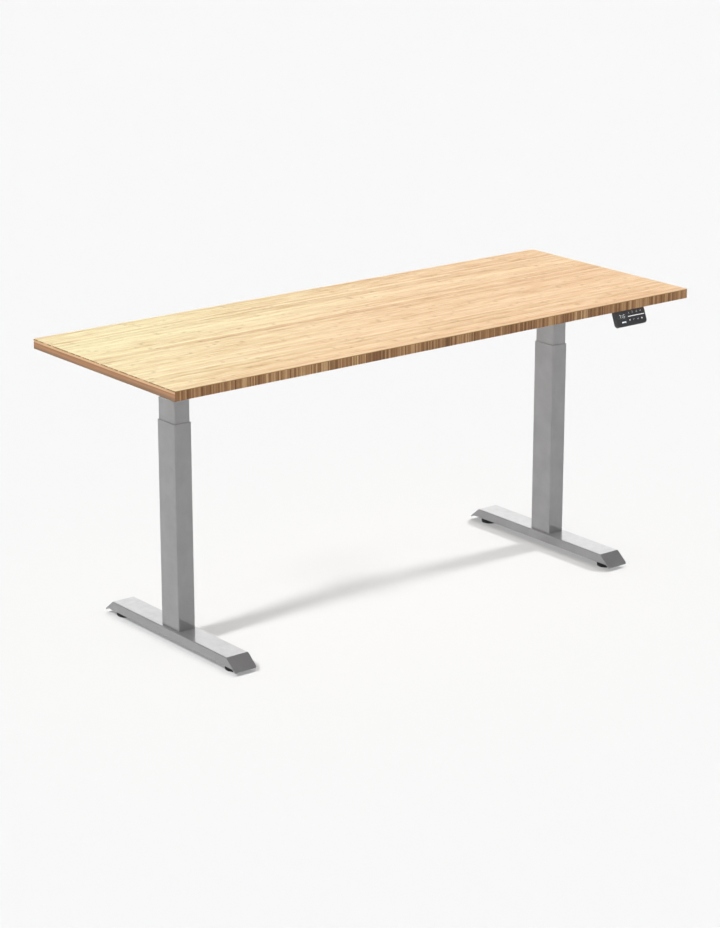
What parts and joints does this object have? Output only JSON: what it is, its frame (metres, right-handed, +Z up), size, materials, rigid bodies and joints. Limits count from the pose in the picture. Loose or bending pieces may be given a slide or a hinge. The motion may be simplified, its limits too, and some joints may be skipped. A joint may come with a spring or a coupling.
{
  "type": "height adjustable standing desk",
  "caption": "Electric sit-stand desk: laminated bamboo worktop on two three-stage telescopic columns with sheet-steel feet, levelling glides and an angled handset.",
  "frame": {"origin": "on the floor, under the middle of the worktop", "axes": "+X along the worktop to the user's right, +Y to the back, +Z up"},
  "size_m": [1.8, 0.675, 0.822],
  "materials": {
    "powder_coat": "satin grey powder coat",
    "zinc_steel": "bright zinc plate",
    "bare_steel": "machined, lightly greased",
    "nut_bronze": "machined bronze",
    "nylon": "moulded nylon",
    "glide_rubber": "moulded, matt",
    "cast_alloy": "die-cast",
    "motor_black": "black, semi-gloss",
    "bamboo": "laminated bamboo, satin lacquer",
    "box_plastic": "fine textured",
    "circuit_board": "solder mask",
    "lead_jacket": "soft jacket",
    "handset_plastic": "fine textured",
    "display_lens": "gloss",
    "key_plastic": "soft touch"
  },
  "bodies": {
    "base": {"left_foot": "powder_coat", "right_foot": "powder_coat", "foot_bolts": "zinc_steel", "left_outer_tube": "powder_coat", "right_outer_tube": "powder_coat", "outer_glide_strips": "nylon", "nut_posts": "bare_steel", "lower_nuts": "nut_bronze"},
    "top": {"left_inner_tube": "powder_coat", "right_inner_tube": "powder_coat", "inner_glide_strips": "nylon", "left_gearbox": "cast_alloy", "right_gearbox": "cast_alloy", "left_motor": "motor_black", "right_motor": "motor_black", "left_side_bracket": "powder_coat", "right_side_bracket": "powder_coat", "center_rails": "powder_coat", "end_rails": "powder_coat", "worktop": "bamboo", "worktop_screws": "zinc_steel", "frame_bolts": "zinc_steel", "control_box": "box_plastic", "control_box_cover": "box_plastic", "control_board": "circuit_board", "mains_inlet": "box_plastic", "motor_leads": "lead_jacket", "handset_lead": "lead_jacket", "cable_clips": "nylon", "handset_case": "handset_plastic", "handset_face": "handset_plastic", "display_window": "display_lens"},
    "left_middle_stage": {"left_middle_tube": "powder_coat", "left_middle_glide_strips": "nylon", "left_middle_post": "bare_steel", "left_upper_nut": "nut_bronze"},
    "left_sleeve": {"left_sleeve_screw": "bare_steel"},
    "left_screw": {"left_drive_screw": "bare_steel", "left_worm_wheel": "nut_bronze"},
    "left_rotor": {"left_worm": "bare_steel"},
    "right_middle_stage": {"right_middle_tube": "powder_coat", "right_middle_glide_strips": "nylon", "right_middle_post": "bare_steel", "right_upper_nut": "nut_bronze"},
    "right_sleeve": {"right_sleeve_screw": "bare_steel"},
    "right_screw": {"right_drive_screw": "bare_steel", "right_worm_wheel": "nut_bronze"},
    "right_rotor": {"right_worm": "bare_steel"},
    "glide_left_front": {"glide_left_front": "glide_rubber"},
    "glide_left_back": {"glide_left_back": "glide_rubber"},
    "glide_right_front": {"glide_right_front": "glide_rubber"},
    "glide_right_back": {"glide_right_back": "glide_rubber"},
    "key_preset_1": {"key_preset_1": "key_plastic"},
    "key_preset_2": {"key_preset_2": "key_plastic"},
    "key_preset_3": {"key_preset_3": "key_plastic"},
    "key_preset_4": {"key_preset_4": "key_plastic"},
    "key_save": {"key_save": "key_plastic"},
    "key_up": {"key_up": "key_plastic"},
    "key_down": {"key_down": "key_plastic"},
    "key_lock": {"key_lock": "key_plastic"}
  },
  "joints": [
    {"name": "lift", "type": "slide", "parent": "base", "child": "top", "axis": [0, 0, 1], "range_m": [-0.1, 0.48]},
    {"name": "left_stage", "type": "slide", "parent": "base", "child": "left_middle_stage", "axis": [0, 0, 1], "range_m": [-0.0505, 0.2405]},
    {"name": "left_sleeve_turn", "type": "hinge", "parent": "left_middle_stage", "child": "left_sleeve", "pos_m": [-0.676, 0, 0.3], "axis": [0, 0, 1], "range_deg": [-1800.5, 8640.5]},
    {"name": "left_screw_turn", "type": "hinge", "parent": "top", "child": "left_screw", "pos_m": [-0.676, 0, 0.77], "axis": [0, 0, 1], "range_deg": [-1800.5, 8640.5]},
    {"name": "left_worm_turn", "type": "hinge", "parent": "top", "child": "left_rotor", "pos_m": [-0.6536, 0, 0.77], "axis": [0, 1, 0], "range_deg": [-172800.5, 36000.5]},
    {"name": "right_stage", "type": "slide", "parent": "base", "child": "right_middle_stage", "axis": [0, 0, 1], "range_m": [-0.0505, 0.2405]},
    {"name": "right_sleeve_turn", "type": "hinge", "parent": "right_middle_stage", "child": "right_sleeve", "pos_m": [0.676, 0, 0.3], "axis": [0, 0, 1], "range_deg": [-1800.5, 8640.5]},
    {"name": "right_screw_turn", "type": "hinge", "parent": "top", "child": "right_screw", "pos_m": [0.676, 0, 0.77], "axis": [0, 0, 1], "range_deg": [-1800.5, 8640.5]},
    {"name": "right_worm_turn", "type": "hinge", "parent": "top", "child": "right_rotor", "pos_m": [0.6536, 0, 0.77], "axis": [0, 1, 0], "range_deg": [-36000.5, 172800.5]},
    {"name": "glide_left_front_adjust", "type": "slide", "parent": "base", "child": "glide_left_front", "axis": [0, 0, -1], "range_m": [0, 0.012]},
    {"name": "glide_left_back_adjust", "type": "slide", "parent": "base", "child": "glide_left_back", "axis": [0, 0, -1], "range_m": [0, 0.012]},
    {"name": "glide_right_front_adjust", "type": "slide", "parent": "base", "child": "glide_right_front", "axis": [0, 0, -1], "range_m": [0, 0.012]},
    {"name": "glide_right_back_adjust", "type": "slide", "parent": "base", "child": "glide_right_back", "axis": [0, 0, -1], "range_m": [0, 0.012]},
    {"name": "key_preset_1_press", "type": "slide", "parent": "top", "child": "key_preset_1", "axis": [0, 0.9272, -0.3746], "range_m": [0, 0.0006], "stiffness_N_per_m": 600, "springref_m": -0.0008},
    {"name": "key_preset_2_press", "type": "slide", "parent": "top", "child": "key_preset_2", "axis": [0, 0.9272, -0.3746], "range_m": [0, 0.0006], "stiffness_N_per_m": 600, "springref_m": -0.0008},
    {"name": "key_preset_3_press", "type": "slide", "parent": "top", "child": "key_preset_3", "axis": [0, 0.9272, -0.3746], "range_m": [0, 0.0006], "stiffness_N_per_m": 600, "springref_m": -0.0008},
    {"name": "key_preset_4_press", "type": "slide", "parent": "top", "child": "key_preset_4", "axis": [0, 0.9272, -0.3746], "range_m": [0, 0.0006], "stiffness_N_per_m": 600, "springref_m": -0.0008},
    {"name": "key_save_press", "type": "slide", "parent": "top", "child": "key_save", "axis": [0, 0.9272, -0.3746], "range_m": [0, 0.0006], "stiffness_N_per_m": 600, "springref_m": -0.0008},
    {"name": "key_up_press", "type": "slide", "parent": "top", "child": "key_up", "axis": [0, 0.9272, -0.3746], "range_m": [0, 0.0006], "stiffness_N_per_m": 600, "springref_m": -0.0008},
    {"name": "key_down_press", "type": "slide", "parent": "top", "child": "key_down", "axis": [0, 0.9272, -0.3746], "range_m": [0, 0.0006], "stiffness_N_per_m": 600, "springref_m": -0.0008},
    {"name": "key_lock_press", "type": "slide", "parent": "top", "child": "key_lock", "axis": [0, 0.9272, -0.3746], "range_m": [0, 0.0006], "stiffness_N_per_m": 600, "springref_m": -0.0008}
  ],
  "couplings": [
    {"joint": "left_stage", "follows": "lift", "ratio": 0.5},
    {"joint": "left_sleeve_turn", "follows": "lift", "rad_per_m": 314.16},
    {"joint": "left_screw_turn", "follows": "lift", "rad_per_m": 314.16},
    {"joint": "left_worm_turn", "follows": "lift", "rad_per_m": -6283.2},
    {"joint": "right_stage", "follows": "lift", "ratio": 0.5},
    {"joint": "right_sleeve_turn", "follows": "lift", "rad_per_m": 314.16},
    {"joint": "right_screw_turn", "follows": "lift", "rad_per_m": 314.16},
    {"joint": "right_worm_turn", "follows": "lift", "rad_per_m": 6283.2}
  ]
}
